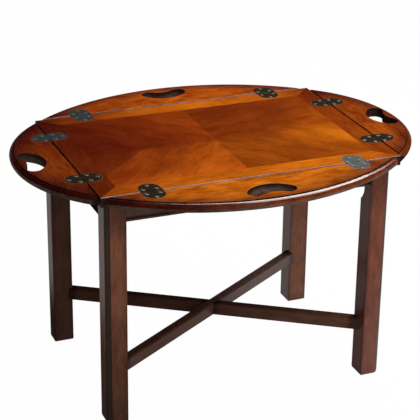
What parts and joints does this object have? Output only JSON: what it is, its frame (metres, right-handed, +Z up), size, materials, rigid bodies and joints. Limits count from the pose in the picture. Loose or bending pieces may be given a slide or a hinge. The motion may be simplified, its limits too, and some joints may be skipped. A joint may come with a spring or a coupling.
{
  "type": "butlers tray table",
  "caption": "Low oval tray table: a veneered rectangular tray with hinged leaves that fold up, each with a hand hole, on a lift-off stand with square legs and a crossed stretcher.",
  "frame": {"origin": "on the floor below the middle of the oval top", "axes": "+X along the oval's length, +Y to the back, +Z up"},
  "size_m": [0.79, 0.635, 0.47],
  "materials": {
    "top_mahogany": "polished mahogany",
    "field_veneer": "polished figured mahogany veneer",
    "crossband_veneer": "polished crossbanded mahogany veneer",
    "board_mahogany": "stained mahogany",
    "stand_mahogany": "dark satin mahogany",
    "hinge_bronze": "antique bronzed brass",
    "screw_bronze": "antique bronzed brass, worn",
    "spring_steel": "bright steel",
    "zinc_steel": "zinc plated",
    "beech_dowel": "plain beech"
  },
  "bodies": {
    "stand": {"leg_front_left": "stand_mahogany", "leg_front_right": "stand_mahogany", "leg_back_right": "stand_mahogany", "leg_back_left": "stand_mahogany", "rail_front": "stand_mahogany", "rail_back": "stand_mahogany", "rail_left": "stand_mahogany", "rail_right": "stand_mahogany", "stretcher_over": "stand_mahogany", "stretcher_under": "stand_mahogany", "lap_screw": "zinc_steel", "corner_block_front_left": "stand_mahogany", "corner_block_front_right": "stand_mahogany", "corner_block_back_right": "stand_mahogany", "corner_block_back_left": "stand_mahogany", "hanger_bolts": "zinc_steel", "bolt_washers": "zinc_steel", "bolt_nuts": "zinc_steel", "block_screws": "zinc_steel", "tray_pegs": "beech_dowel"},
    "tray": {"tray_board": "board_mahogany", "field_veneer_front_left": "field_veneer", "field_veneer_front_right": "field_veneer", "field_veneer_back_right": "field_veneer", "field_veneer_back_left": "field_veneer", "crossband_front": "crossband_veneer", "crossband_back": "crossband_veneer", "crossband_left": "crossband_veneer", "crossband_right": "crossband_veneer", "tray_plate_front_left": "hinge_bronze", "tray_plate_front_right": "hinge_bronze", "tray_plate_back_left": "hinge_bronze", "tray_plate_back_right": "hinge_bronze", "tray_plate_left_front": "hinge_bronze", "tray_plate_left_back": "hinge_bronze", "tray_plate_right_front": "hinge_bronze", "tray_plate_right_back": "hinge_bronze", "hinge_pins": "spring_steel", "hinge_springs": "spring_steel", "tray_screws": "screw_bronze"},
    "leaf_front_body": {"leaf_front": "top_mahogany", "leaf_plate_front_left": "hinge_bronze", "leaf_plate_front_right": "hinge_bronze", "leaf_screws_front": "screw_bronze"},
    "leaf_back_body": {"leaf_back": "top_mahogany", "leaf_plate_back_left": "hinge_bronze", "leaf_plate_back_right": "hinge_bronze", "leaf_screws_back": "screw_bronze"},
    "leaf_left_body": {"leaf_left": "top_mahogany", "leaf_plate_left_front": "hinge_bronze", "leaf_plate_left_back": "hinge_bronze", "leaf_screws_left": "screw_bronze"},
    "leaf_right_body": {"leaf_right": "top_mahogany", "leaf_plate_right_front": "hinge_bronze", "leaf_plate_right_back": "hinge_bronze", "leaf_screws_right": "screw_bronze"}
  },
  "joints": [
    {"name": "tray_lift", "type": "slide", "parent": "stand", "child": "tray", "axis": [0, 0, 1], "range_m": [0, 0.2]},
    {"name": "leaf_front_fold", "type": "hinge", "parent": "tray", "child": "leaf_front_body", "pos_m": [0, -0.2078, 0.4677], "axis": [-1, 0, 0], "range_deg": [0, 90]},
    {"name": "leaf_back_fold", "type": "hinge", "parent": "tray", "child": "leaf_back_body", "pos_m": [0, 0.2078, 0.4677], "axis": [1, 0, 0], "range_deg": [0, 90]},
    {"name": "leaf_left_fold", "type": "hinge", "parent": "tray", "child": "leaf_left_body", "pos_m": [-0.2958, 0, 0.4677], "axis": [0, 1, 0], "range_deg": [0, 90]},
    {"name": "leaf_right_fold", "type": "hinge", "parent": "tray", "child": "leaf_right_body", "pos_m": [0.2958, 0, 0.4677], "axis": [0, -1, 0], "range_deg": [0, 90]}
  ]
}
